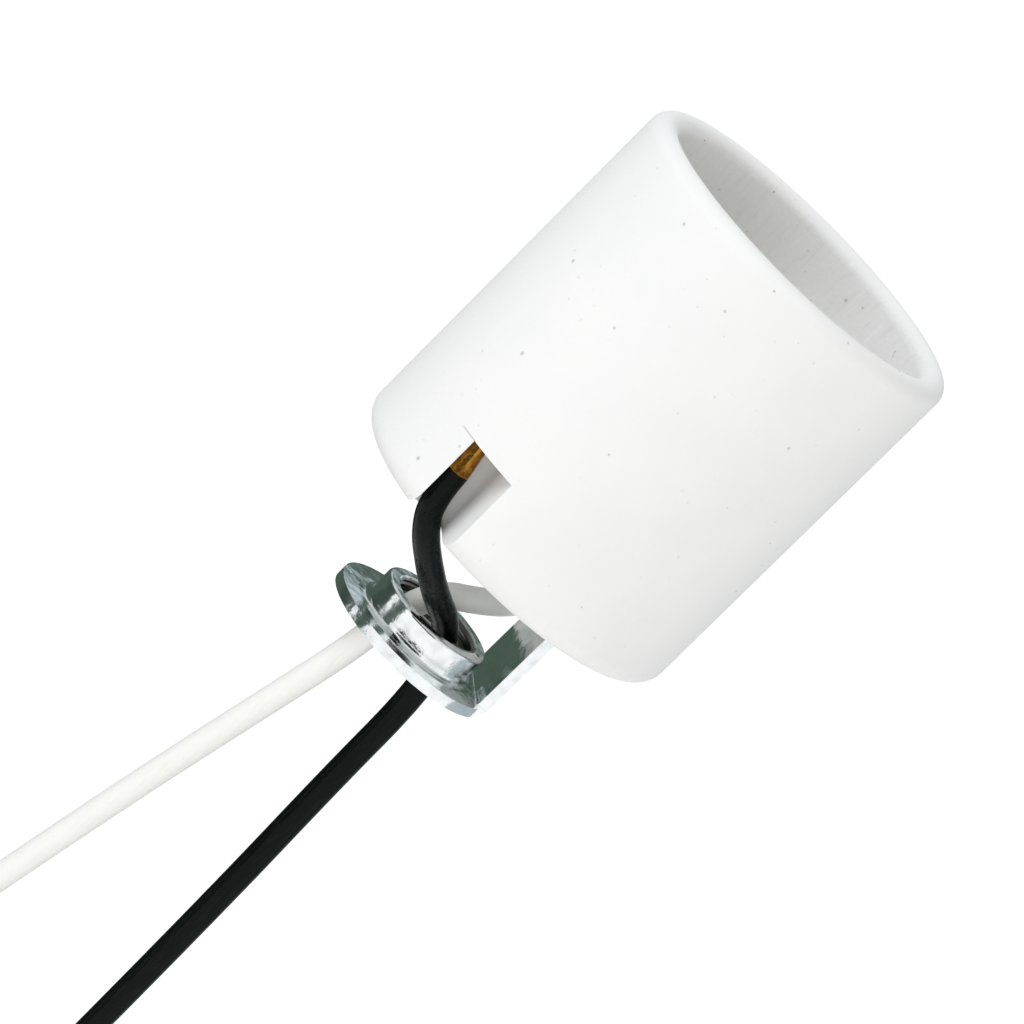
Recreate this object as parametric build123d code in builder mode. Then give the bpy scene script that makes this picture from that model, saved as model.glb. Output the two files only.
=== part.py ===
from build123d import *
import math
import os

# Keyless medium-base lamp holder of unglazed porcelain, held by a zinc-plated
# steel hickey whose drawn collar screws on to a lamp nipple, with two leads.
# Millimetres. The origin is on the socket's axis at the underside of the
# hickey's plate, +Z points along the axis to the mouth, and +X to the arm.

os.makedirs("parts", exist_ok=True)

# Screw shell, drawn from sheet with the lamp's thread rolled into it
shell_minor_diameter = 25.1
shell_sheet = 0.4
shell_taper = 0.65  # how much the floor's edge stands in from the wall
shell_taper_height = 3.6
thread_depth = 0.7
thread_pitch = 3.629
thread_round = 1.19
thread_start = 1.6  # top of the taper to the middle of the ridge
thread_end = 2.4  # middle of the ridge to the rim's top
thread_run_out = 0.01  # share of a turn by which the outside ridge runs on at each end
rim_flare = 0.5
rim_rise = 0.7  # porcelain ledge to the rim's top

# Porcelain body, built round the shell
seat_gap = 0.55
ledge_width = 2.75
lip_wall = 3.2
lip_flat = 0.1
lip_outer_round = 1.6
body_height = 44.5
bracket_drop = 15.0  # plate's underside to the body's bottom face
mouth_depth = 9.6
floor_height = 15.0  # body's bottom face to the cavity floor
base_round = 2.4
ledge_round = 0.9

# Wireways, one for each lead, half a turn apart
wireway_right = -10.1
wireway_width = 4.9
wireway_back = -9.4
wireway_splay = 0.4
wireway_splay_start = 3.1  # back wall to where the left wall starts to splay
wireway_corner = 2.2

# Terminals, a brass tongue and a rolled barrel in one piece
terminal_sheet = 0.8
terminal_width = 4.4
tongue_tip_width = 2.2
terminal_turn = 222.0  # degrees from +X to the tongue that feeds the front wireway
contact_overrun = 3.0  # how far the hot tongue passes the axis
slit_gap = 0.15
slit_side_gap = 0.3
barrel_mouth_diameter = 2.9
barrel_root_diameter = 2.0
barrel_wall = 0.4
barrel_tip = 0.75  # length of the barrel's root that is pinched shut

# Sprung centre contact and the pocket under it
contact_diameter = 5.6
contact_dome = 1.6
contact_rim = 0.8  # how far the flange stands out from the cup
contact_flange = 0.6
contact_wall = 0.5
contact_stand = 4.3  # how far the dome stands above the cavity floor
contact_gap = 0.1
pocket_gap = 0.3
pocket_depth = 6.0
live_gap = 2.7  # centre contact to the edge of the shell's floor
spring_wire = 0.5
spring_turns = 3.5

# Insulating disc
disc_thickness = 0.8
disc_edge_gap = 0.3
disc_hole_gap = 0.2

# Terminal screws
screw_diameter = 2.85
screw_gap = 0.15
tapped_gap = 0.05
screw_head_rim = 1.15
screw_head_height = 1.6
screw_head_gap = 0.5  # head to the foot of the shell's wall
screw_slot_width = 0.8
screw_slot_depth = 0.7
screw_sink = 3.2  # cavity floor to the seat of the sunk screw's head
screw_tail = 0.6  # how far a screw passes its tongue

# Rivet of the bracket, with its washer and the compound that covers it
rivet_diameter = 4.0
rivet_gap = 0.2
rivet_head_rim = 1.7
rivet_head_height = 1.1
rivet_ledge = 3.2  # body's bottom face to the ledge that the washer sits on
rivet_wall = 0.8
rivet_tube_depth = 2.6
clinch_rim = 0.7
clinch_height = 0.9
washer_rim = 0.15
washer_thickness = 0.6
plug_gap = 0.1

# Hickey
bracket_sheet = 1.25
collar_bore = 10.4
collar_wall = 1.7
collar_height = 4.55
collar_entry_round = 1.1
collar_root_round = 0.8
collar_rim_round = 0.4
collar_bore_chamfer = 0.35
plate_flange = 3.55  # collar to the plate's edge
arm_gap = 1.5  # collar to the arm
arm_width = 10.5
arm_lean = 0.1  # how much further out the arm stands at its top
inner_bend = 0.4
channel_gap = 0.25
channel_end_gap = 1.6

# Leads: the points of each route are chosen by hand
lead_diameter = 2.9
conductor_diameter = 1.25
strip_length = 9.5
arc_share = 0.45  # how much of the shorter run each arc of a lead takes up
black_route = [
    (-13.45, -12.1, 20.9),
    (-13.25, -12.25, 17.0),
    (-11.2, -11.8, 13.7),
    (-7.2, -8.9, 10.3),
    (-3.2, -4.9, 7.3),
    (0.9, -1.6, 4.9),
    (3.5, -0.35, 0.8),
    (4.5, 0.0, -5.5),
    (4.7, 0.3, -16.0),
    (5.3, 0.0, -37.0),
    (6.0, 0.9, -76.0),
    (5.2, 1.6, -114.0),
]
white_route = [
    (13.45, 12.1, 20.9),
    (13.3, 12.3, 16.6),
    (11.4, 11.1, 12.2),
    (8.0, 8.4, 8.4),
    (3.6, 4.8, 7.0),
    (-0.9, 1.8, 5.9),
    (-3.3, 0.55, 1.6),
    (-4.1, 0.1, -4.5),
    (-6.3, 0.3, -14.5),
    (-11.2, 0.0, -36.0),
    (-18.0, 1.1, -74.0),
    (-21.3, 2.0, -111.0),
]

# Worked out from the sizes above, outwards from the shell
shell_radius = shell_minor_diameter / 2
shell_foot_radius = shell_radius - shell_taper
rim_radius = shell_radius + thread_depth + shell_sheet + rim_flare
seat_radius = rim_radius + seat_gap
mouth_radius = seat_radius + ledge_width
body_radius = mouth_radius + lip_wall
lip_inner_round = lip_wall - lip_outer_round - lip_flat
# and upwards from the bracket
body_bottom = bracket_drop
body_top = body_bottom + body_height
ledge = body_top - mouth_depth
cavity_floor = body_bottom + floor_height
pocket_floor = cavity_floor - pocket_depth
tongue_bottom = pocket_floor + slit_gap
tongue_top = tongue_bottom + terminal_sheet
disc_top = cavity_floor + disc_thickness
shell_floor = disc_top + shell_sheet
shell_top = ledge + rim_rise
taper_top = shell_floor + shell_taper_height
rivet_seat = body_bottom + rivet_ledge
washer_top = rivet_seat + washer_thickness
clinch_top = washer_top + clinch_height
# and across the small parts
wireway_left = wireway_right - wireway_width
slit_width = terminal_width + 2 * slit_side_gap
tongue_end = (wireway_left + wireway_right) / 2 / math.cos(math.radians(terminal_turn))
screw_radius = screw_diameter / 2
screw_head_radius = screw_radius + screw_head_rim
screw_circle = shell_foot_radius - screw_head_gap - screw_head_radius
cup_radius = contact_diameter / 2
flange_radius = cup_radius + contact_rim
pocket_radius = flange_radius + pocket_gap
rivet_radius = rivet_diameter / 2
clinch_radius = rivet_radius + clinch_rim
washer_radius = clinch_radius + washer_rim
recess_radius = washer_radius + washer_rim
collar_bore_radius = collar_bore / 2
collar_radius = collar_bore_radius + collar_wall
black_side = 0
white_side = 180


def turned(angle, height=0.0):
    """The horizontal plane at a height, turned about the socket's axis."""
    toward = (math.cos(math.radians(angle)), math.sin(math.radians(angle)), 0)
    return Plane((0, 0, height), x_dir=toward)


def about_axis(radius, angle):
    """The plan position at a radius and an angle in degrees from +X."""
    return (radius * math.cos(math.radians(angle)), radius * math.sin(math.radians(angle)))


def rings(builder, radius):
    """A part's circular edges of one radius, lowest first."""
    circles = builder.edges().filter_by(GeomType.CIRCLE)
    return circles.filter_by(lambda edge: abs(edge.radius - radius) < 0.001).sort_by(Axis.Z)


def save(builder, name):
    """Label a finished piece and write it out."""
    builder.part.label = name
    export_step(builder.part, "parts/" + name + ".step")


# The body is pressed and fired in one piece: a stepped cavity above, and
# below it the two wireways, the bracket's channel and the rivet's recess.
with BuildPart() as porcelain_body:
    with BuildSketch(Plane.XZ):
        with BuildLine():
            Polyline(
                (0, body_bottom),
                (body_radius, body_bottom),
                (body_radius, body_top),
                (mouth_radius, body_top),
                (mouth_radius, ledge),
                (seat_radius, ledge),
                (seat_radius, cavity_floor),
                (0, cavity_floor),
                close=True,
            )
        make_face()
    revolve(axis=Axis.Z)
    fillet(rings(porcelain_body, body_radius)[-1], lip_outer_round)
    fillet(rings(porcelain_body, body_radius)[0], base_round)
    fillet(rings(porcelain_body, mouth_radius)[-1], lip_inner_round)
    fillet(rings(porcelain_body, mouth_radius)[0], ledge_round)
    fillet(rings(porcelain_body, seat_radius)[-1], ledge_round)
    for side in (black_side, white_side):
        with BuildSketch(turned(side, body_bottom)):
            with BuildLine():
                Polyline(
                    (wireway_left, -2 * body_radius),
                    (wireway_right, -2 * body_radius),
                    (wireway_right, wireway_back),
                    (wireway_left - wireway_splay, wireway_back),
                    (wireway_left, wireway_back - wireway_splay_start),
                    close=True,
                )
            opening = make_face()
            back_corners = opening.vertices().group_by(Axis.Y)[-1].sort_by(Axis.X)
            fillet(back_corners[-1], wireway_corner)
        extrude(amount=tongue_top - body_bottom, mode=Mode.SUBTRACT)
    # slits that the tongues slide into, one of them through to the pocket
    for side, slit_start in ((black_side, 0), (white_side, screw_circle - slit_width / 2)):
        with BuildSketch(turned(terminal_turn + side, pocket_floor)):
            with Locations((slit_start, 0)):
                Rectangle(tongue_end - slit_start, slit_width, align=(Align.MIN, Align.CENTER))
        extrude(amount=tongue_top - pocket_floor, mode=Mode.SUBTRACT)
    # pocket of the sprung contact, over the rivet's recess and its bore
    for hole_radius, hole_floor in (
        (pocket_radius, pocket_floor),
        (recess_radius, rivet_seat),
        (rivet_radius + rivet_gap, body_bottom),
    ):
        with BuildSketch(Plane.XY.offset(hole_floor)):
            Circle(hole_radius)
        extrude(amount=cavity_floor - hole_floor, mode=Mode.SUBTRACT)
    # the two terminal screws pass the floor, and the hot one's head is sunk
    tail_end = tongue_bottom - screw_tail - screw_gap
    for side in (black_side, white_side):
        with BuildSketch(Plane.XY.offset(tail_end)):
            with Locations(about_axis(screw_circle, terminal_turn + side)):
                Circle(screw_radius + screw_gap)
        extrude(amount=cavity_floor - tail_end, mode=Mode.SUBTRACT)
    with BuildSketch(Plane.XY.offset(cavity_floor - screw_sink)):
        with Locations(about_axis(screw_circle, terminal_turn)):
            Circle(screw_head_radius + screw_gap)
    extrude(amount=screw_sink, mode=Mode.SUBTRACT)
    # channel that keeps the bracket's foot from turning
    channel_end = collar_radius + arm_gap + bracket_sheet + arm_lean + channel_end_gap
    with BuildSketch(Plane.XY.offset(body_bottom)):
        Circle(arm_width / 2 + channel_gap)
        Rectangle(channel_end, arm_width + 2 * channel_gap, align=(Align.MIN, Align.CENTER))
    extrude(amount=bracket_sheet, mode=Mode.SUBTRACT)
save(porcelain_body, "porcelain_body")

# The hickey is one piece of sheet: a round plate with a collar drawn up out of
# it, an arm folded up at one side, and a foot folded in under the body.
arm_inner_x = collar_radius + arm_gap
arm_outer_x = arm_inner_x + bracket_sheet
foot_top = body_bottom + bracket_sheet
with BuildPart() as hickey_bracket:
    with BuildSketch(Plane.XZ):
        with BuildLine():
            Polyline(
                (0, 0),
                (arm_outer_x, 0),
                (arm_outer_x + arm_lean, foot_top),
                (0, foot_top),
                (0, body_bottom),
                (arm_inner_x + arm_lean, body_bottom),
                (arm_inner_x, bracket_sheet),
                (0, bracket_sheet),
                close=True,
            )
        strap = make_face()
        bends = strap.vertices().filter_by(lambda corner: corner.X > 0).sort_by(Axis.X)
        fillet(bends[0:2], inner_bend)
    extrude(amount=arm_width / 2, both=True)
    outer_bends = hickey_bracket.edges().filter_by(Axis.Y).filter_by_position(
        Axis.X, arm_outer_x, arm_outer_x + arm_lean
    )
    fillet(outer_bends, inner_bend + bracket_sheet)
    with BuildSketch(Plane.XY.offset(body_bottom)):
        Circle(arm_width / 2)
    extrude(amount=bracket_sheet)
    with BuildSketch(Plane.XY):
        Circle(collar_radius + plate_flange)
        with Locations((arm_inner_x, 0)):
            Rectangle(
                4 * collar_radius,
                4 * collar_radius,
                align=(Align.MAX, Align.CENTER),
                mode=Mode.INTERSECT,
            )
    extrude(amount=bracket_sheet)
    with BuildSketch(Plane.XY):
        Circle(collar_radius)
    extrude(amount=collar_height)
    with BuildSketch(Plane.XY):
        Circle(collar_bore_radius)
    extrude(amount=collar_height, mode=Mode.SUBTRACT)
    with BuildSketch(Plane.XY.offset(body_bottom)):
        Circle(rivet_radius + rivet_gap)
    extrude(amount=bracket_sheet, mode=Mode.SUBTRACT)
    fillet(rings(hickey_bracket, collar_radius)[0], collar_root_round)
    fillet(rings(hickey_bracket, collar_radius)[-1], collar_rim_round)
    fillet(rings(hickey_bracket, collar_bore_radius)[0], collar_entry_round)
    chamfer(rings(hickey_bracket, collar_bore_radius)[-1], collar_bore_chamfer)
save(hickey_bracket, "hickey_bracket")

# Tubular rivet that clamps the foot to the body, clinched over a washer
head_bottom = body_bottom - rivet_head_height
tube_floor = clinch_top - rivet_tube_depth
with BuildPart() as bracket_rivet:
    with BuildSketch(Plane.XZ):
        with BuildLine():
            Polyline(
                (0, head_bottom),
                (0, tube_floor),
                (rivet_radius - rivet_wall, tube_floor),
                (rivet_radius - rivet_wall, clinch_top),
                (rivet_radius, clinch_top),
            )
            Spline(
                (rivet_radius, clinch_top),
                (clinch_radius, washer_top),
                tangents=[(1, 0), (0, -1)],
            )
            Polyline(
                (clinch_radius, washer_top),
                (rivet_radius, washer_top),
                (rivet_radius, body_bottom),
                (rivet_radius + rivet_head_rim, body_bottom),
            )
            Spline(
                (rivet_radius + rivet_head_rim, body_bottom),
                (0, head_bottom),
                tangents=[(0, -1), (-1, 0)],
            )
        make_face()
    revolve(axis=Axis.Z)
save(bracket_rivet, "bracket_rivet")

with BuildPart() as rivet_washer:
    with BuildSketch(Plane.XY.offset(rivet_seat)):
        Circle(washer_radius)
        Circle(rivet_radius + tapped_gap, mode=Mode.SUBTRACT)
    extrude(amount=washer_thickness)
save(rivet_washer, "rivet_washer")

# Sealing compound poured over the clinched rivet, level with the pocket's floor
with BuildPart() as sealing_plug:
    with BuildSketch(Plane.XY.offset(clinch_top)):
        Circle(recess_radius - plug_gap)
    extrude(amount=pocket_floor - clinch_top)
save(sealing_plug, "sealing_plug")


def barrel_line(route):
    """Where a terminal's barrel meets its lead, its direction, and how far off its tongue is."""
    mouth = Vector(*route[0])
    along = (mouth - Vector(*route[1])).normalized()
    return mouth, along, ((tongue_bottom + tongue_top) / 2 - mouth.Z) / along.Z


def make_terminal(name, route, side, tongue_start):
    """A tongue in its slit, tapped for a screw, with a barrel rolled round the lead's strands."""
    mouth, along, barrel_length = barrel_line(route)
    root = mouth + along * barrel_length
    taper = (barrel_root_diameter - barrel_mouth_diameter) / barrel_length
    crimp_length = barrel_length - barrel_tip
    crimp_diameter = barrel_mouth_diameter + taper * crimp_length
    with BuildPart() as terminal:
        with BuildSketch(turned(terminal_turn + side, tongue_bottom)):
            with Locations((tongue_start, 0)):
                Rectangle(
                    screw_circle + terminal_width / 2 - tongue_start,
                    terminal_width,
                    align=(Align.MIN, Align.CENTER),
                )
            with Locations((tongue_end, 0)):
                Circle(tongue_tip_width / 2)
            make_hull()
            with Locations((screw_circle, 0)):
                Circle(screw_radius + tapped_gap, mode=Mode.SUBTRACT)
        extrude(amount=terminal_sheet)
        with BuildSketch(Plane(origin=mouth, z_dir=along)):
            Circle(barrel_mouth_diameter / 2)
        with BuildSketch(Plane(origin=root, z_dir=along)):
            Circle(barrel_root_diameter / 2)
        loft()
        with BuildSketch(Plane(origin=mouth, z_dir=along)):
            Circle(barrel_mouth_diameter / 2 - barrel_wall)
        with BuildSketch(Plane(origin=mouth + along * crimp_length, z_dir=along)):
            Circle(crimp_diameter / 2 - barrel_wall)
        loft(mode=Mode.SUBTRACT)
    save(terminal, name)


make_terminal("contact_terminal", black_route, black_side, -contact_overrun)
make_terminal("shell_terminal", white_route, white_side, screw_circle - terminal_width / 2)


def make_screw(name, side, head_seat):
    """A slotted pan-head screw whose tail is tapped into a terminal's tongue."""
    position = about_axis(screw_circle, terminal_turn + side)
    with BuildPart() as screw:
        with BuildSketch(Plane.XY.offset(head_seat)):
            with Locations(position):
                Circle(screw_head_radius)
        extrude(amount=screw_head_height)
        fillet(rings(screw, screw_head_radius)[-1], screw_head_height / 2)
        with BuildSketch(Plane.XY.offset(head_seat + screw_head_height - screw_slot_depth)):
            with Locations(position):
                Rectangle(4 * screw_head_radius, screw_slot_width, rotation=terminal_turn)
        extrude(amount=screw_slot_depth, mode=Mode.SUBTRACT)
        with BuildSketch(Plane.XY.offset(tongue_bottom - screw_tail)):
            with Locations(position):
                Circle(screw_radius)
        extrude(amount=head_seat - tongue_bottom + screw_tail)
    save(screw, name)


make_screw("contact_screw", black_side, cavity_floor - screw_sink)
make_screw("shell_screw", white_side, shell_floor)

# Drawn brass cup that meets the lamp's tip, with a flange that the disc traps
flange_bottom = cavity_floor - contact_gap - contact_flange
dome_top = cavity_floor + contact_stand
with BuildPart() as centre_contact:
    with BuildSketch(Plane.XY.offset(flange_bottom)):
        Circle(flange_radius)
    extrude(amount=contact_flange)
    with BuildSketch(Plane.XY.offset(flange_bottom)):
        Circle(cup_radius)
    extrude(amount=dome_top - flange_bottom)
    fillet(rings(centre_contact, cup_radius)[-1], contact_dome)
    with BuildSketch(Plane.XY.offset(flange_bottom)):
        Circle(cup_radius - contact_wall)
    extrude(amount=dome_top - contact_wall - flange_bottom, mode=Mode.SUBTRACT)
    fillet(rings(centre_contact, cup_radius - contact_wall)[-1], contact_dome - contact_wall)
save(centre_contact, "centre_contact")

# Compression spring that stands on the hot tongue, under the contact's flange
spring_rise = flange_bottom - tongue_top - spring_wire
with BuildPart() as contact_spring:
    with BuildLine(Plane.XY.offset(tongue_top + spring_wire / 2)):
        coil = Helix(pitch=spring_rise / spring_turns, height=spring_rise, radius=cup_radius)
    with BuildSketch(Plane(origin=coil @ 0, z_dir=coil % 0)):
        Circle(spring_wire / 2)
    sweep(is_frenet=True)
save(contact_spring, "contact_spring")

# Fibre disc that keeps the shell from the hot screw, and the contact's flange
# down in its pocket
with BuildPart() as insulating_disc:
    with BuildSketch(Plane.XY.offset(cavity_floor)):
        Circle(seat_radius - disc_edge_gap)
        Circle(cup_radius + disc_hole_gap, mode=Mode.SUBTRACT)
        with Locations(about_axis(screw_circle, terminal_turn + white_side)):
            Circle(screw_radius + screw_gap, mode=Mode.SUBTRACT)
    extrude(amount=disc_thickness)
save(insulating_disc, "insulating_disc")


def shell_cup(foot_radius, wall_radius, floor):
    """The turned form of the shell's outside or inside: a floor, a taper and a straight wall."""
    with BuildPart() as cup:
        with BuildSketch(Plane.XZ):
            with BuildLine():
                Polyline(
                    (0, floor),
                    (foot_radius, floor),
                    (wall_radius, taper_top),
                    (wall_radius, shell_top),
                    (0, shell_top),
                    close=True,
                )
            make_face()
        revolve(axis=Axis.Z)
    return cup.part


def thread_ridge(section_radius, run_out):
    """The round ridge of the lamp's thread, wound about the axis as a solid."""
    thread_rise = shell_top - thread_end - taper_top - thread_start
    with BuildPart() as ridge:
        with BuildLine(turned(-360 * run_out, taper_top + thread_start - run_out * thread_pitch)):
            winding = Helix(
                pitch=thread_pitch,
                height=thread_rise + 2 * run_out * thread_pitch,
                radius=shell_radius + thread_depth - thread_round,
            )
        with BuildSketch(Plane(origin=winding @ 0, z_dir=winding % 0)):
            Circle(section_radius)
        sweep(is_frenet=True)
    return ridge.part


# The shell is drawn as a cup and its thread is rolled in, so the ridge that
# stands out on the outside is a groove of one sheet's thickness on the inside.
outside = shell_cup(shell_foot_radius + shell_sheet, shell_radius + shell_sheet, disc_top)
inside = shell_cup(shell_foot_radius, shell_radius, shell_floor)
outside_ridge = thread_ridge(thread_round + shell_sheet, thread_run_out)
inside_ridge = thread_ridge(thread_round, 0)
with BuildPart() as screw_shell:
    add(outside)
    fillet(rings(screw_shell, shell_foot_radius + shell_sheet)[0], 2 * shell_sheet)
    with BuildSketch(Plane.XY.offset(shell_top - shell_sheet)):
        Circle(rim_radius)
    extrude(amount=shell_sheet)
    add(outside_ridge)
    add(inside, mode=Mode.SUBTRACT)
    fillet(rings(screw_shell, shell_foot_radius)[0], shell_sheet)
    add(inside_ridge, mode=Mode.SUBTRACT)
    with BuildSketch(Plane.XY.offset(disc_top)):
        Circle(cup_radius + live_gap)
        with Locations(about_axis(screw_circle, terminal_turn + white_side)):
            Circle(screw_radius + screw_gap)
    extrude(amount=shell_sheet, mode=Mode.SUBTRACT)
save(screw_shell, "screw_shell")


def arc_radii(route):
    """The radius at each corner of a route, as large as the two runs allow."""
    points = [Vector(*point) for point in route]
    radii = []
    for before, corner, after in zip(points, points[1:], points[2:]):
        arriving = corner - before
        leaving = after - corner
        half_turn = math.radians(arriving.get_angle(leaving) / 2)
        radii.append(arc_share * min(arriving.length, leaving.length) / math.tan(half_turn))
    return radii


def make_lead(name, route):
    """A lead's insulation along its route, and the bared strands at both of its ends."""
    radii = arc_radii(route)
    with BuildPart() as lead:
        with BuildLine():
            path = FilletPolyline(*route, radius=radii)
        with BuildSketch(Plane(origin=path @ 0, z_dir=path % 0)):
            Circle(lead_diameter / 2)
        sweep()
    swept = math.pi * (lead_diameter / 2) ** 2 * path.length
    print(name, "length", round(path.length, 1), "volume share", round(lead.part.volume / swept, 4))
    print(name, "radii", [round(radius, 1) for radius in radii])
    save(lead, name + "_lead")
    mouth, along, barrel_length = barrel_line(route)
    with BuildPart() as conductor:
        with BuildSketch(Plane(origin=path @ 1, z_dir=path % 1)):
            Circle(conductor_diameter / 2)
        extrude(amount=strip_length)
        with BuildSketch(Plane(origin=mouth, z_dir=along)):
            Circle(conductor_diameter / 2)
        extrude(amount=barrel_length - barrel_tip - tapped_gap)
    save(conductor, name + "_conductor")


make_lead("black", black_route)
make_lead("white", white_route)
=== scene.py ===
# %% [markdown]
# # A porcelain lamp holder on its bracket
# This lesson dresses a keyless lamp holder: a plain unglazed porcelain body with
# a drawn screw shell inside, held by a folded steel bracket, with one black and
# one white lead. The rigid pieces were modelled in CAD and are loaded as they
# are, because their sizes are already right. Blender adds what CAD leaves out:
# smooth hanging leads, twisted strands, fine threads, and every finish.
# Sizes are in metres. The origin is on the socket's axis at the underside of
# the bracket's plate, +Z points to the open mouth and +X to the bracket's arm.

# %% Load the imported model
import math

import bpy
from mathutils import Matrix, Vector


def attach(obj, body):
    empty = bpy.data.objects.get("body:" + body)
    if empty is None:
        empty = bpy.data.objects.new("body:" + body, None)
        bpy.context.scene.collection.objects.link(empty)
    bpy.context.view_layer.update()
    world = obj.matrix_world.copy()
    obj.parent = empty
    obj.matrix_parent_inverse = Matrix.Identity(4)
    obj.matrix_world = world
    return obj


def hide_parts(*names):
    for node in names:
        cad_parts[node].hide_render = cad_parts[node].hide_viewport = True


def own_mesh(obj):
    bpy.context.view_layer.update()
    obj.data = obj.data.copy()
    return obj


MM = 0.001
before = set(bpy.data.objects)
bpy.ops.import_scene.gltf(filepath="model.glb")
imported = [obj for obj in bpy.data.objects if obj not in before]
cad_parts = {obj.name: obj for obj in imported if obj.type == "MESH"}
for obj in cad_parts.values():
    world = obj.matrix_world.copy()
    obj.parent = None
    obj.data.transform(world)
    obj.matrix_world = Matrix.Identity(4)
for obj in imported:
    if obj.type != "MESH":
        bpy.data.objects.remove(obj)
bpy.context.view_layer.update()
print("nodes:", sorted(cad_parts))

# %% [markdown]
# ## The camera
# The photograph looks at the holder from its front and a little above, through
# a long lens, and the picture is turned by 45 degrees so that the holder lies
# slantwise. So the camera is set by its direction first, then turned about its
# own line of sight, and last moved sideways until the holder sits where the
# photograph has it. The sideways move takes the place of a lens shift.

# %% Camera
AZIMUTH = math.radians(-18)
ELEVATION = math.radians(14.2)
SLANT = math.radians(45.2)
TARGET_HEIGHT = 37 * MM
CAMERA_DISTANCE = 650 * MM
ASIDE = 2.14 * MM
BELOW = 18.5 * MM
LENS = 221.67  # on a sensor 36 mm wide

TARGET = Vector((0, 0, TARGET_HEIGHT))


def toward(azimuth, elevation):
    """The direction from the holder to a place round it; azimuth 0 is its front, the side of -Y."""
    level = math.cos(elevation)
    return Vector((math.sin(azimuth) * level, -math.cos(azimuth) * level, math.sin(elevation)))


toward_camera = toward(AZIMUTH, ELEVATION)
right = Vector((math.cos(AZIMUTH), math.sin(AZIMUTH), 0))
above = toward_camera.cross(right)
camera_data = bpy.data.cameras.new("camera")
camera_data.sensor_width = 36
camera_data.lens = LENS
camera_data.clip_start = 0.01
camera_data.clip_end = 20
camera = bpy.data.objects.new("camera", camera_data)
bpy.context.scene.collection.objects.link(camera)
picture_right = math.cos(SLANT) * right + math.sin(SLANT) * above
picture_up = math.cos(SLANT) * above - math.sin(SLANT) * right
turn = Matrix((picture_right, picture_up, toward_camera)).transposed().to_4x4()
camera_place = TARGET + CAMERA_DISTANCE * toward_camera - ASIDE * right - BELOW * above
camera.matrix_world = Matrix.Translation(camera_place) @ turn
bpy.context.scene.camera = camera
print("camera at", [round(value, 4) for value in camera.matrix_world.translation])

# %% [markdown]
# ## Two helpers for node trees
# Every finish and every repeated shape below is a node tree. One function turns
# a hex colour, as a paint chart gives it, into the linear colour that the
# renderer counts in. The other adds one node with its settings, and either sets
# each input or links it to the socket that is given for it.

# %% Helpers
def colour(hex_value):
    """The linear colour of an sRGB hex value."""
    channels = [int(hex_value[i:i + 2], 16) / 255 for i in (1, 3, 5)]
    linear = [c / 12.92 if c <= 0.04045 else ((c + 0.055) / 1.055) ** 2.4 for c in channels]
    return (*linear, 1)


def add(tree, kind, settings=None, **inputs):
    """Add a node; an input is named in words joined by underscores, or as in_0 by its number."""
    node = tree.nodes.new(kind)
    for name, value in (settings or {}).items():
        setattr(node, name, value)
    for name, value in inputs.items():
        key = int(name[3:]) if name.startswith("in_") else name.replace("_", " ")
        socket = node.inputs[key]
        if isinstance(value, bpy.types.NodeSocket):
            tree.links.new(value, socket)
        else:
            socket.default_value = value
    return node


# %% [markdown]
# ## Light and ground
# The photograph was made in soft light and cut out, so its background is pure
# white, and the porcelain is bright without being burnt out. A white world that
# shines at full strength would wash every form out. So the camera and the
# mirrors see a full white world, while the holder itself is lit by a weaker one.
# The floor is white paper, which can take a soft shadow. It glows a little for
# the camera and the mirrors, so that it looks white to them.

# %% World and floor
WORLD_LIGHT = 0.64
FLOOR_HEIGHT = -0.45
FLOOR_REACH = 6
FLOOR_GLOW = 0.48
scene = bpy.context.scene
scene.view_settings.view_transform = "Standard"
world = bpy.data.worlds.new("light tent")
scene.world = world
world.use_nodes = True
tree = world.node_tree
tree.nodes.clear()


def looked_at(tree):
    """One where a ray comes from the camera, from a mirror or through glass, and otherwise nought."""
    path = add(tree, "ShaderNodeLightPath")
    seen = add(tree, "ShaderNodeMath", {"operation": "MAXIMUM"},
               in_0=path.outputs["Is Camera Ray"], in_1=path.outputs["Is Glossy Ray"])
    return add(tree, "ShaderNodeMath", {"operation": "MAXIMUM"},
               in_0=seen.outputs[0], in_1=path.outputs["Is Transmission Ray"]).outputs[0]


strength = add(tree, "ShaderNodeMapRange", Value=looked_at(tree), To_Min=WORLD_LIGHT, To_Max=1.0)
tent = add(tree, "ShaderNodeBackground", Color=colour("#ffffff"), Strength=strength.outputs[0])
add(tree, "ShaderNodeOutputWorld", Surface=tent.outputs[0])

floor_finish = bpy.data.materials.new("white paper")
floor_finish.use_nodes = True
tree = floor_finish.node_tree
tree.nodes.clear()
paper = add(tree, "ShaderNodeBsdfDiffuse", Color=colour("#f2f2f2"))
strength = add(tree, "ShaderNodeMapRange", Value=looked_at(tree), To_Min=0.0, To_Max=FLOOR_GLOW)
glow = add(tree, "ShaderNodeEmission", Color=colour("#ffffff"), Strength=strength.outputs[0])
lit_paper = add(tree, "ShaderNodeAddShader", in_0=paper.outputs[0], in_1=glow.outputs[0])
add(tree, "ShaderNodeOutputMaterial", Surface=lit_paper.outputs[0])

floor_mesh = bpy.data.meshes.new("floor")
floor_mesh.from_pydata(
    [(x * FLOOR_REACH, y * FLOOR_REACH, FLOOR_HEIGHT) for x, y in ((-1, -1), (1, -1), (1, 1), (-1, 1))],
    [], [(0, 1, 2, 3)],
)
floor_mesh.materials.append(floor_finish)
floor = bpy.data.objects.new("floor", floor_mesh)
scene.collection.objects.link(floor)

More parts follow.
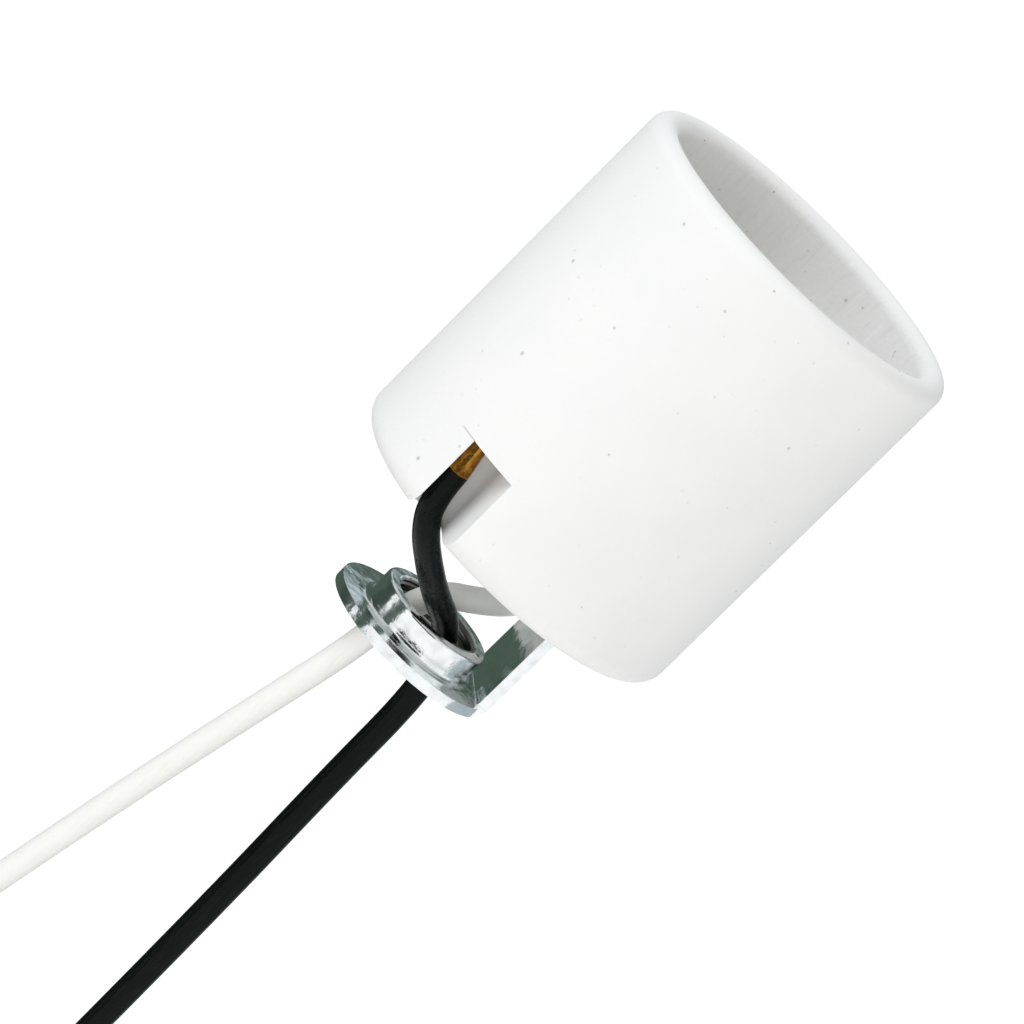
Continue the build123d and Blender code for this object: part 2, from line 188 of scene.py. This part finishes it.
# %% [markdown]
# ## Lamps, and boards for the mirrors
# Two broad lamps give the porcelain its form: one low in front, so that the
# inside of the mouth stays shaded, and one at the left, a little blue. Bright
# metal and black insulation only show what they mirror. In a white room they
# would look white, so dark boards stand where the photograph's dark reflections
# come from: behind the holder, to its left and round the camera. Two pale ones,
# high behind it and at its right, give the plate and the arm their grey. Only
# mirrors see the boards, so they take no light from the porcelain.

# %% Lamps and boards
def lamp(name, azimuth, elevation, distance, size, power, tint):
    """A broad square lamp that faces the holder; angles in degrees, azimuth from the camera's."""
    data = bpy.data.lights.new(name, "AREA")
    data.size = size
    data.energy = power
    data.color = colour(tint)[:3]
    thing = bpy.data.objects.new(name, data)
    direction = toward(AZIMUTH + math.radians(azimuth), math.radians(elevation))
    thing.location = TARGET + distance * direction
    thing.rotation_euler = direction.to_track_quat("Z", "Y").to_euler()
    thing.visible_glossy = False
    scene.collection.objects.link(thing)


def board(name, azimuth, elevation, distance, width, height, tone):
    """A board that faces the holder and that only mirrors see; angles as for a lamp."""
    material = bpy.data.materials.new(name)
    material.use_nodes = True
    tree = material.node_tree
    tree.nodes.clear()
    shown = add(tree, "ShaderNodeEmission", Color=colour(tone), Strength=1.0)
    add(tree, "ShaderNodeOutputMaterial", Surface=shown.outputs[0])
    direction = toward(AZIMUTH + math.radians(azimuth), math.radians(elevation))
    centre = TARGET + distance * direction
    across = Vector((0, 0, 1)).cross(direction).normalized() * width / 2
    along = direction.cross(across).normalized() * height / 2
    mesh = bpy.data.meshes.new(name)
    corners = (centre - across - along, centre + across - along,
               centre + across + along, centre - across + along)
    mesh.from_pydata([tuple(corner) for corner in corners], [], [(0, 1, 2, 3)])
    mesh.materials.append(material)
    thing = bpy.data.objects.new(name, mesh)
    thing.visible_camera = False
    thing.visible_diffuse = False
    thing.visible_transmission = False
    thing.visible_shadow = False
    scene.collection.objects.link(thing)


lamp("key lamp", azimuth=16, elevation=-15, distance=0.9, size=0.8, power=3.1, tint="#fffefb")
lamp("side lamp", azimuth=-70, elevation=38, distance=0.8, size=0.5, power=2.5, tint="#f9faff")
board("back board", azimuth=-154, elevation=-20, distance=0.55, width=0.9, height=1.8, tone="#4a5b50")
board("pale board", azimuth=172, elevation=30.8, distance=0.45, width=0.45, height=0.26, tone="#c3d0d6")
board("right board", azimuth=125, elevation=-8, distance=0.6, width=0.84, height=0.6, tone="#b0bcc0")
board("left board", azimuth=-100, elevation=5, distance=0.6, width=0.42, height=0.9, tone="#3c4a43")
board("left front board", azimuth=-60, elevation=5, distance=0.6, width=0.26, height=0.9, tone="#4a5a52")
board("camera board", azimuth=0, elevation=15, distance=0.8, width=0.75, height=0.52, tone="#1d2320")
print("lamps:", [light.name for light in bpy.data.lights])

# %% [markdown]
# ## How each finish is begun
# A finish starts from one principled shader. Each one below first says what the
# real material is and how its surface was made, because that is what the eye
# reads: how tight the highlight is, and what breaks it up.

# %% A new finish
def finish(name, base, roughness, metallic=0.0, **more):
    """A material with one principled shader; gives the material, its tree and the shader."""
    material = bpy.data.materials.new(name)
    material.use_nodes = True
    tree = material.node_tree
    tree.nodes.clear()
    shader = add(tree, "ShaderNodeBsdfPrincipled", Base_Color=colour(base), Roughness=roughness,
                 Metallic=metallic, **more)
    add(tree, "ShaderNodeOutputMaterial", Surface=shader.outputs[0])
    material.diffuse_color = colour(base)
    return material, tree, shader


def place_on(tree, stretch=(1, 1, 1)):
    """The place on the object, in millimetres, drawn out along an axis where stretch is small."""
    coordinates = add(tree, "ShaderNodeTexCoord")
    scale = tuple(share / MM for share in stretch)
    return add(tree, "ShaderNodeMapping", Vector=coordinates.outputs["Object"], Scale=scale).outputs[0]


def noise(tree, place, per_mm, detail=2.0):
    """Smooth noise about one half, with so many swells in a millimetre."""
    return add(tree, "ShaderNodeTexNoise", Vector=place, Scale=per_mm, Detail=detail).outputs["Fac"]


def between(tree, value, low, high, to_low=0.0, to_high=1.0):
    """A value carried from one range to another, and kept in it."""
    return add(tree, "ShaderNodeMapRange", Value=value, From_Min=low, From_Max=high,
               To_Min=to_low, To_Max=to_high).outputs[0]


def times(tree, first, second):
    """The product of two values."""
    return add(tree, "ShaderNodeMath", {"operation": "MULTIPLY"}, in_0=first, in_1=second).outputs[0]


def off_axis(tree, place):
    """How far a place lies from the object's axis, in millimetres."""
    here = add(tree, "ShaderNodeSeparateXYZ", Vector=place).outputs
    flat = add(tree, "ShaderNodeCombineXYZ", X=here["X"], Y=here["Y"]).outputs[0]
    return add(tree, "ShaderNodeVectorMath", {"operation": "LENGTH"}, in_0=flat).outputs["Value"]


def blended(tree, share, first, second):
    """Two colours mixed by a share; each is a hex value or a socket."""
    first, second = (colour(c) if isinstance(c, str) else c for c in (first, second))
    mixer = add(tree, "ShaderNodeMix", {"data_type": "RGBA"}, in_0=share, in_6=first, in_7=second)
    return mixer.outputs[2]


def raised(tree, height, more, share):
    """A height with a share of another one added; a share below nought cuts in."""
    return add(tree, "ShaderNodeMath", {"operation": "MULTIPLY_ADD"},
               in_0=more, in_1=share, in_2=height).outputs[0]


def bumped(tree, shader, height, depth_mm):
    """Let a height of about nought to one tilt the surface as if it were so many millimetres deep."""
    bump = add(tree, "ShaderNodeBump", Height=height, Strength=1.0, Distance=depth_mm * MM)
    tree.links.new(bump.outputs[0], shader.inputs["Normal"])


# %% [markdown]
# ## Unglazed porcelain
# The body is steatite porcelain, pressed dry in a die and fired without a glaze.
# Its surface is white, dense and quite matte, with a fine sandy grain, pits
# where a grain fell out, and small grey specks of iron. The die's core draws
# short fine lines along the inside of the mouth. This one has a hairline crack
# beside the top of its front wireway. Each of these has its own real size, so
# each gets its own pattern, in millimetres.

# %% Porcelain
def specks(tree, place, cell_mm, radius_mm, shares):
    """Dots in a share of the cells of a random grid, softly edged, as one where a dot is."""
    cells = add(tree, "ShaderNodeTexVoronoi", Vector=place, Scale=1 / cell_mm)
    chosen = add(tree, "ShaderNodeSeparateColor", Color=cells.outputs["Color"])
    kept = between(tree, chosen.outputs[0], 1 - shares, 1)
    size = between(tree, chosen.outputs[1], 0, 1, 0.3 * radius_mm / cell_mm, radius_mm / cell_mm)
    share_out = add(tree, "ShaderNodeMath", {"operation": "DIVIDE"},
                    in_0=cells.outputs["Distance"], in_1=size)
    return times(tree, between(tree, share_out.outputs[0], 1.0, 0.4), kept)


def within(tree, value, low, high, soft):
    """One where a value lies between two bounds, fading to nought over a soft edge."""
    return times(tree, between(tree, value, low - soft, low), between(tree, value, high + soft, high))


CRACK_HEIGHT = 24.95  # places and sizes in millimetres, as place_on gives them
CRACK_FROM = -16.3
CRACK_TO = -14.9
CRACK_WIDTH = 0.1
BORE_OF_MOUTH = 17.45
porcelain, tree, shader = finish("unglazed porcelain", "#f5f5f4", 0.62)
at = place_on(tree)
here = add(tree, "ShaderNodeSeparateXYZ", Vector=at).outputs
inside_mouth = between(tree, off_axis(tree, at), BORE_OF_MOUTH + 0.6, BORE_OF_MOUTH + 0.1)
drawn_lines = noise(tree, place_on(tree, (1, 1, 0.16)), per_mm=1.8, detail=3)
grain = noise(tree, at, per_mm=2.2, detail=4)
clouds = noise(tree, at, per_mm=0.09, detail=2)
iron = specks(tree, at, cell_mm=1.9, radius_mm=0.3, shares=0.45)
pits = specks(tree, at, cell_mm=1.2, radius_mm=0.18, shares=0.4)
iron_inside = times(tree, specks(tree, at, cell_mm=1.2, radius_mm=0.24, shares=0.5), inside_mouth)
crack = times(tree, within(tree, here["X"], CRACK_FROM, CRACK_TO, 0.2),
              times(tree, within(tree, here["Z"], CRACK_HEIGHT, CRACK_HEIGHT, CRACK_WIDTH),
                    between(tree, here["Y"], 0, -1)))
body_colour = blended(tree, between(tree, clouds, 0.3, 0.7), "#f5f6f5", "#f9f9f8")
lined = times(tree, between(tree, drawn_lines, 0.54, 0.72, 0, 0.35), inside_mouth)
body_colour = blended(tree, lined, body_colour, "#e6e6e4")
scratched = times(tree, between(tree, drawn_lines, 0.36, 0.3, 0, 0.8), inside_mouth)
body_colour = blended(tree, scratched, body_colour, "#fdfdfd")
body_colour = blended(tree, times(tree, pits, 0.4), body_colour, "#c4c3bf")
body_colour = blended(tree, times(tree, iron, 0.7), body_colour, "#a3a29d")
body_colour = blended(tree, times(tree, iron_inside, 0.7), body_colour, "#7d7a76")
body_colour = blended(tree, times(tree, crack, 0.55), body_colour, "#8b8b88")
tree.links.new(body_colour, shader.inputs["Base Color"])
relief = raised(tree, grain, pits, share=-0.8)
relief = raised(tree, relief, times(tree, drawn_lines, inside_mouth), share=0.8)
relief = raised(tree, relief, crack, share=-1.0)
bumped(tree, shader, relief, depth_mm=0.04)
print("porcelain takes", len(tree.nodes), "nodes")

# %% [markdown]
# ## Zinc-plated steel
# The bracket is cold-rolled sheet, stamped, drawn and folded, and then plated
# with bright zinc. Bright zinc mirrors its surroundings, a little blue, but the
# sheet under it was rolled and stretched, so the mirror is uneven: broad, soft
# ripples, a finer unevenness like the peel of an orange, and fine lines from
# the rolls. The die pulled the plate's edge down a little as it cut it. The
# collar's thread was cut with a tap last, and its bore is painted dark, as
# painted shade.

# %% Zinc plate
EDGE_ROLL_FROM = 8.2  # distances from the axis, in millimetres
EDGE_ROLL_TO = 10.6
TAPPED_BORE = 5.3
PLATE_TOP = 1.3
zinc, tree, shader = finish("bright zinc plate", "#dde2e2", 0.17, 1.0)
at = place_on(tree)
from_axis = off_axis(tree, at)
height = add(tree, "ShaderNodeSeparateXYZ", Vector=at).outputs["Z"]
edge_roll = times(tree, between(tree, from_axis, EDGE_ROLL_FROM, EDGE_ROLL_TO),
                  between(tree, height, PLATE_TOP + 0.05, PLATE_TOP))
# Painted shade: the bore of the collar is turned dark olive in the base colour.
painted_bore_shade = between(tree, from_axis, TAPPED_BORE + 0.2, TAPPED_BORE, 0, 0.85)
ripple = noise(tree, at, per_mm=0.35, detail=2)
rolled = noise(tree, place_on(tree, (1, 0.05, 1)), per_mm=5.0, detail=2)
peel = noise(tree, at, per_mm=2.0, detail=3)
bloom = noise(tree, at, per_mm=0.8, detail=3)
tree.links.new(between(tree, bloom, 0.35, 0.7, 0.11, 0.26), shader.inputs["Roughness"])
plated = blended(tree, between(tree, bloom, 0.4, 0.75), "#f2f5f6", "#dde3e3")
tree.links.new(blended(tree, painted_bore_shade, plated, "#3d433a"), shader.inputs["Base Color"])
surface = raised(tree, ripple, rolled, share=0.06)
surface = raised(tree, surface, edge_roll, share=-1.4)
surface = raised(tree, surface, peel, share=0.12)
bumped(tree, shader, surface, depth_mm=0.14)
print("zinc plate takes", len(tree.nodes), "nodes")

# %% [markdown]
# ## Brass, nickel and screws
# The terminals are stamped brass, a little tarnished where fingers and flux
# touched them. The screw shell is drawn brass under nickel: the punch leaves
# fine lines along its axis. Screws and rivet are steel under thin zinc.

# %% Other metals
brass, tree, shader = finish("stamped brass", "#a8762c", 0.3, 1.0)
tarnish = noise(tree, place_on(tree), per_mm=1.1, detail=3)
tree.links.new(blended(tree, between(tree, tarnish, 0.4, 0.7), "#b98536", "#6b451b"),
               shader.inputs["Base Color"])
tree.links.new(between(tree, tarnish, 0.4, 0.7, 0.2, 0.36), shader.inputs["Roughness"])
bumped(tree, shader, tarnish, depth_mm=0.05)

nickel, tree, shader = finish("nickel plate on drawn brass", "#cfcabf", 0.24, 1.0)
drawn = noise(tree, place_on(tree, (1, 1, 0.04)), per_mm=3.0, detail=2)
tree.links.new(between(tree, drawn, 0.35, 0.7, 0.18, 0.33), shader.inputs["Roughness"])
bumped(tree, shader, drawn, depth_mm=0.02)

screw_plate, tree, shader = finish("zinc plate on turned steel", "#c6c8c6", 0.26, 1.0)
turned = noise(tree, place_on(tree), per_mm=2.5, detail=3)
tree.links.new(between(tree, turned, 0.35, 0.7, 0.2, 0.36), shader.inputs["Roughness"])
bumped(tree, shader, turned, depth_mm=0.03)

spring_wire, tree, shader = finish("drawn spring wire", "#9d9fa0", 0.3, 1.0)
drawn = noise(tree, place_on(tree), per_mm=6.0, detail=2)
tree.links.new(between(tree, drawn, 0.3, 0.7, 0.24, 0.38), shader.inputs["Roughness"])

# %% [markdown]
# ## Fibre, compound and copper
# The insulating disc is vulcanised fibre, hard and dull with short hairs in it.
# The sealing compound was poured hot and set with a dull skin. The bare strands
# are soft copper, bright where the insulation was drawn off them.

# %% Fibre, compound and copper
fibre, tree, shader = finish("vulcanised fibre", "#6a4238", 0.6)
hairs = noise(tree, place_on(tree, (1, 0.15, 1)), per_mm=3.0, detail=3)
tree.links.new(blended(tree, between(tree, hairs, 0.35, 0.7), "#5c372f", "#7d5347"),
               shader.inputs["Base Color"])
bumped(tree, shader, hairs, depth_mm=0.03)

compound, tree, shader = finish("poured compound", "#211d1b", 0.55)
skin = noise(tree, place_on(tree), per_mm=1.0, detail=3)
tree.links.new(between(tree, skin, 0.3, 0.7, 0.45, 0.65), shader.inputs["Roughness"])
bumped(tree, shader, skin, depth_mm=0.05)

copper, tree, shader = finish("soft copper strand", "#c27a52", 0.28, 1.0)
dulled = noise(tree, place_on(tree), per_mm=1.5, detail=2)
tree.links.new(blended(tree, between(tree, dulled, 0.4, 0.75), "#cf8a61", "#8f5537"),
               shader.inputs["Base Color"])

# %% [markdown]
# ## Lead insulation
# Fixture leads are stranded copper in extruded insulation. The skin is satin:
# smooth across the lead and faintly drawn out along it, with dust and small
# rubbed spots that show on black more than on white. On the black lead their
# tone is green-grey, which is partly painted sheen. The pattern is drawn out
# along Z, because the leads hang nearly along it.

# %% Insulation
def insulation(name, base, dust_and_sheen, share, roughness, specular):
    """The finish of one lead: a satin skin with dusty streaks and specks of another tone; on the black
    lead that tone is partly painted sheen.
    """
    material, tree, shader = finish(name, base, roughness, Specular_IOR_Level=specular)
    at = place_on(tree)
    streaks = noise(tree, place_on(tree, (1, 1, 0.12)), per_mm=3.0, detail=3)
    dust = specks(tree, at, cell_mm=0.8, radius_mm=0.13, shares=0.5)
    skin = blended(tree, between(tree, streaks, 0.5, 0.8, 0, share), base, dust_and_sheen)
    skin = blended(tree, times(tree, dust, 2 * share), skin, dust_and_sheen)
    tree.links.new(skin, shader.inputs["Base Color"])
    tree.links.new(between(tree, streaks, 0.3, 0.7, roughness - 0.07, roughness + 0.1),
                   shader.inputs["Roughness"])
    bumped(tree, shader, streaks, depth_mm=0.03)
    return material


# The black lead's streak tone is green-grey: dust, and partly painted sheen.
black_skin = insulation("black satin insulation", "#060a08", "#323e37",
                        share=0.12, roughness=0.28, specular=0.1)
white_skin = insulation("white satin insulation", "#f8f8f4", "#dedcd4",
                        share=0.2, roughness=0.42, specular=0.5)

# %% [markdown]
# ## Finishes on the CAD pieces
# A CAD piece keeps its shape, and its finish goes into the material slots of its
# object. Pieces of one material, such as the two terminals and the centre
# contact, share one finish.

# %% Give the CAD pieces their finishes
FINISHES = {
    "porcelain_body": porcelain,
    "hickey_bracket": zinc,
    "contact_terminal": brass,
    "shell_terminal": brass,
    "centre_contact": brass,
    "screw_shell": nickel,
    "contact_screw": screw_plate,
    "shell_screw": screw_plate,
    "bracket_rivet": screw_plate,
    "rivet_washer": screw_plate,
    "contact_spring": spring_wire,
    "insulating_disc": fibre,
    "sealing_plug": compound,
    "black_lead": black_skin,
    "white_lead": white_skin,
    "black_conductor": copper,
    "white_conductor": copper,
}
for node, material in FINISHES.items():
    for material_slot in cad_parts[node].material_slots:
        material_slot.material = material
print(len(FINISHES), "pieces have their finish")

# %% [markdown]
# ## The leads
# A lead is one length of something springy. Straight runs with rounded corners
# would look like bent wire, so each lead is one smooth NURBS curve whose
# control points are the points of its CAD route. Each leaves its terminal's
# barrel downwards, swings in under the porcelain, passes the other lead over
# the collar, and goes down through the collar and away.

# %% Leads
LEAD_DIAMETER = 2.9 * MM
ROUTES = {
    "black": [
        (-13.45, -12.1, 20.9), (-13.25, -12.25, 17.0), (-11.2, -11.8, 13.7), (-7.2, -8.9, 10.3),
        (-3.2, -4.9, 7.3), (0.9, -1.6, 4.9), (3.5, -0.35, 0.8), (4.5, 0.0, -5.5),
        (4.7, 0.3, -16.0), (5.3, 0.0, -37.0), (6.0, 0.9, -76.0), (5.2, 1.6, -114.0),
    ],
    "white": [
        (13.45, 12.1, 20.9), (13.3, 12.3, 16.6), (11.4, 11.1, 12.2), (8.0, 8.4, 8.4),
        (3.6, 4.8, 7.0), (-0.9, 1.8, 5.9), (-3.3, 0.55, 1.6), (-4.1, 0.1, -4.5),
        (-6.3, 0.3, -14.5), (-11.2, 0.0, -36.0), (-18.0, 1.1, -74.0), (-21.3, 2.0, -111.0),
    ],
}


def make_lead(name, route, skin):
    """A lead as a round NURBS curve along its route."""
    data = bpy.data.curves.new(name, "CURVE")
    data.dimensions = "3D"
    data.resolution_u = 24
    data.bevel_depth = LEAD_DIAMETER / 2
    data.bevel_resolution = 8
    data.use_fill_caps = True
    line = data.splines.new("NURBS")
    line.points.add(len(route) - 1)
    for point, place in zip(line.points, route):
        point.co = (*(Vector(place) * MM), 1)
    line.order_u = 3
    line.use_endpoint_u = True
    data.materials.append(skin)
    lead = bpy.data.objects.new(name, data)
    scene.collection.objects.link(lead)
    return lead


# %% [markdown]
# ## Twisted strands
# Eighteen-gauge fixture wire is sixteen thin strands, laid as a core, a ring of
# five and a ring of ten, all twisted the same way. One Geometry Nodes tree makes
# a ring: it winds one strand as a spiral, turns copies of it about the middle,
# and joins them. It is used three times, with another radius and count.

# %% Strand rings by Geometry Nodes
def new_tree(name, sizes):
    """A geometry tree with named inputs; gives the tree and its input node."""
    tree = bpy.data.node_groups.new(name, "GeometryNodeTree")
    for title, kind, value in sizes:
        socket = tree.interface.new_socket(title, in_out="INPUT", socket_type=kind)
        socket.default_value = value
    tree.interface.new_socket("Finish", in_out="INPUT", socket_type="NodeSocketMaterial")
    tree.interface.new_socket("Geometry", in_out="OUTPUT", socket_type="NodeSocketGeometry")
    return tree, tree.nodes.new("NodeGroupInput").outputs


def finished(tree, given, shape):
    """Close a tree: real geometry in place of copies, with the material on it."""
    real = add(tree, "GeometryNodeRealizeInstances", Geometry=shape)
    painted = add(tree, "GeometryNodeSetMaterial", Geometry=real.outputs[0], Material=given["Finish"])
    smooth = add(tree, "GeometryNodeSetShadeSmooth", Geometry=painted.outputs[0])
    add(tree, "NodeGroupOutput", Geometry=smooth.outputs[0])


def built(tree, name, values):
    """The plain mesh that a tree makes with these values."""
    holder = bpy.data.objects.new(name, bpy.data.meshes.new(name))
    scene.collection.objects.link(holder)
    modifier = holder.modifiers.new("nodes", "NODES")
    modifier.node_group = tree
    sockets = {s.name: s.identifier for s in tree.interface.items_tree if s.in_out == "INPUT"}
    for title, value in values.items():
        modifier[sockets[title]] = value
    bpy.context.view_layer.update()
    evaluated = holder.evaluated_get(bpy.context.evaluated_depsgraph_get())
    mesh = bpy.data.meshes.new_from_object(evaluated)
    bpy.data.objects.remove(holder)
    return mesh


strand_tree, given = new_tree("twisted ring", [
    ("Turns", "NodeSocketFloat", 0.5),
    ("Ring Radius", "NodeSocketFloat", 0.25 * MM),
    ("Height", "NodeSocketFloat", 9.5 * MM),
    ("Strand Radius", "NodeSocketFloat", 0.12 * MM),
    ("Strands", "NodeSocketInt", 5),
])
spiral = add(strand_tree, "GeometryNodeCurveSpiral", Resolution=40, Rotations=given["Turns"],
             Start_Radius=given["Ring Radius"], End_Radius=given["Ring Radius"], Height=given["Height"])
section = add(strand_tree, "GeometryNodeCurvePrimitiveCircle", Resolution=8,
              Radius=given["Strand Radius"])
strand = add(strand_tree, "GeometryNodeCurveToMesh", Curve=spiral.outputs[0],
             Profile_Curve=section.outputs[0], Fill_Caps=True)
places = add(strand_tree, "GeometryNodePoints", Count=given["Strands"])
share = add(strand_tree, "ShaderNodeMath", {"operation": "DIVIDE"},
            in_0=add(strand_tree, "GeometryNodeInputIndex").outputs[0], in_1=given["Strands"])
angle = add(strand_tree, "ShaderNodeMath", {"operation": "MULTIPLY"},
            in_0=share.outputs[0], in_1=math.tau)
about = add(strand_tree, "ShaderNodeCombineXYZ", Z=angle.outputs[0])
copies = add(strand_tree, "GeometryNodeInstanceOnPoints", Points=places.outputs[0],
             Instance=strand.outputs[0], Rotation=about.outputs[0])
finished(strand_tree, given, copies.outputs[0])

STRAND_RADIUS = 0.122 * MM
RINGS = ((1, 0.0), (5, 0.255 * MM), (10, 0.5 * MM))
LAY = 21 * MM  # length of one full twist


def strands(name, ends):
    """The strands over one or more stretches, each from a start along a direction for a length."""
    mesh = bpy.data.meshes.new(name)
    parts = []
    for start, direction, length in ends:
        turn = direction.to_track_quat("Z", "Y").to_matrix().to_4x4()
        for count, ring_radius in RINGS:
            part = built(strand_tree, name, {
                "Turns": length / LAY, "Ring Radius": ring_radius, "Height": length,
                "Strand Radius": STRAND_RADIUS, "Strands": count, "Finish": copper,
            })
            part.transform(Matrix.Translation(start) @ turn)
            parts.append(part)
    vertices, faces = [], []
    for part in parts:
        offset = len(vertices)
        vertices += [tuple(vertex.co) for vertex in part.vertices]
        faces += [[index + offset for index in face.vertices] for face in part.polygons]
        bpy.data.meshes.remove(part)
    mesh.from_pydata(vertices, [], faces)
    mesh.materials.append(copper)
    mesh.shade_smooth()
    piece = bpy.data.objects.new(name, mesh)
    scene.collection.objects.link(piece)
    return piece


# %% Put the leads and their strands together
BARE = 9.5 * MM
IN_BARREL = 2.8 * MM
for name, skin in (("black", black_skin), ("white", white_skin)):
    route = [Vector(place) * MM for place in ROUTES[name]]
    upward = (route[0] - route[1]).normalized()
    downward = (route[-1] - route[-2]).normalized()
    wires = strands(name + "_strands", [(route[0], upward, IN_BARREL), (route[-1], downward, BARE)])
    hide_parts(name + "_conductor")
    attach(wires, "root")
    lead = make_lead(name + "_wire", ROUTES[name], skin)
    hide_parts(name + "_lead")
    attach(lead, "root")

# %% [markdown]
# ## Wound pieces
# A thread and a compression spring are the same thing: a section carried along a
# spiral. One tree serves both. The thread in the collar is too fine for CAD, so
# it is a low ridge with a sharp edge, let into the wall of the plain bore. The
# spring under the contact is replaced by a wound one.

# %% Winding by Geometry Nodes
winding_tree, given = new_tree("winding", [
    ("Turns", "NodeSocketFloat", 3.5),
    ("Radius", "NodeSocketFloat", 3 * MM),
    ("Height", "NodeSocketFloat", 4 * MM),
    ("Steps", "NodeSocketInt", 200),
    ("Section Radius", "NodeSocketFloat", 0.25 * MM),
    ("Section Sides", "NodeSocketInt", 12),
])
spiral = add(winding_tree, "GeometryNodeCurveSpiral", Resolution=given["Steps"],
             Rotations=given["Turns"], Start_Radius=given["Radius"], End_Radius=given["Radius"],
             Height=given["Height"])
upright = add(winding_tree, "GeometryNodeSetCurveNormal", {"mode": "Z_UP"}, Curve=spiral.outputs[0])
section = add(winding_tree, "GeometryNodeCurvePrimitiveCircle", Resolution=given["Section Sides"],
              Radius=given["Section Radius"])
wound = add(winding_tree, "GeometryNodeCurveToMesh", Curve=upright.outputs[0],
            Profile_Curve=section.outputs[0], Fill_Caps=True)
finished(winding_tree, given, wound.outputs[0])


def winding(name, bottom, material, **sizes):
    """A wound piece whose middle line starts at a height on the axis."""
    values = {title.replace("_", " "): value for title, value in sizes.items()}
    mesh = built(winding_tree, name, {**values, "Finish": material})
    mesh.transform(Matrix.Translation((0, 0, bottom)))
    piece = bpy.data.objects.new(name, mesh)
    scene.collection.objects.link(piece)
    return piece


# %% Collar thread
# Pipe thread of 27 turns to the inch; a little over three turns of it line the bore.
BORE_RADIUS = 5.2 * MM
THREAD_PITCH = 0.941 * MM
THREAD_TURNS = 3.2
THREAD_BOTTOM = 1.2 * MM
THREAD_RISE = 0.4 * MM
THREAD_SUNK = 0.05 * MM  # how far the ridge's middle line lies in the wall
collar_thread = winding("collar_thread", THREAD_BOTTOM, zinc, Turns=THREAD_TURNS,
                        Radius=BORE_RADIUS + THREAD_SUNK, Height=THREAD_TURNS * THREAD_PITCH,
                        Steps=400, Section_Radius=THREAD_RISE, Section_Sides=4)
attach(collar_thread, "root")
print("collar thread:", len(collar_thread.data.polygons), "faces")

# %% Contact spring
SPRING_FLOOR = 24.95 * MM
SPRING_TOP = 29.3 * MM
SPRING_RADIUS = 2.8 * MM
SPRING_TURNS = 3.5
WIRE_RADIUS = 0.25 * MM
spring = winding("contact_coil", SPRING_FLOOR + WIRE_RADIUS, spring_wire, Turns=SPRING_TURNS,
                 Radius=SPRING_RADIUS, Height=SPRING_TOP - SPRING_FLOOR - 2 * WIRE_RADIUS, Steps=220,
                 Section_Radius=WIRE_RADIUS, Section_Sides=12)
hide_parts("contact_spring")
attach(spring, "root")
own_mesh(spring)
print("contact spring:", len(spring.data.polygons), "faces")
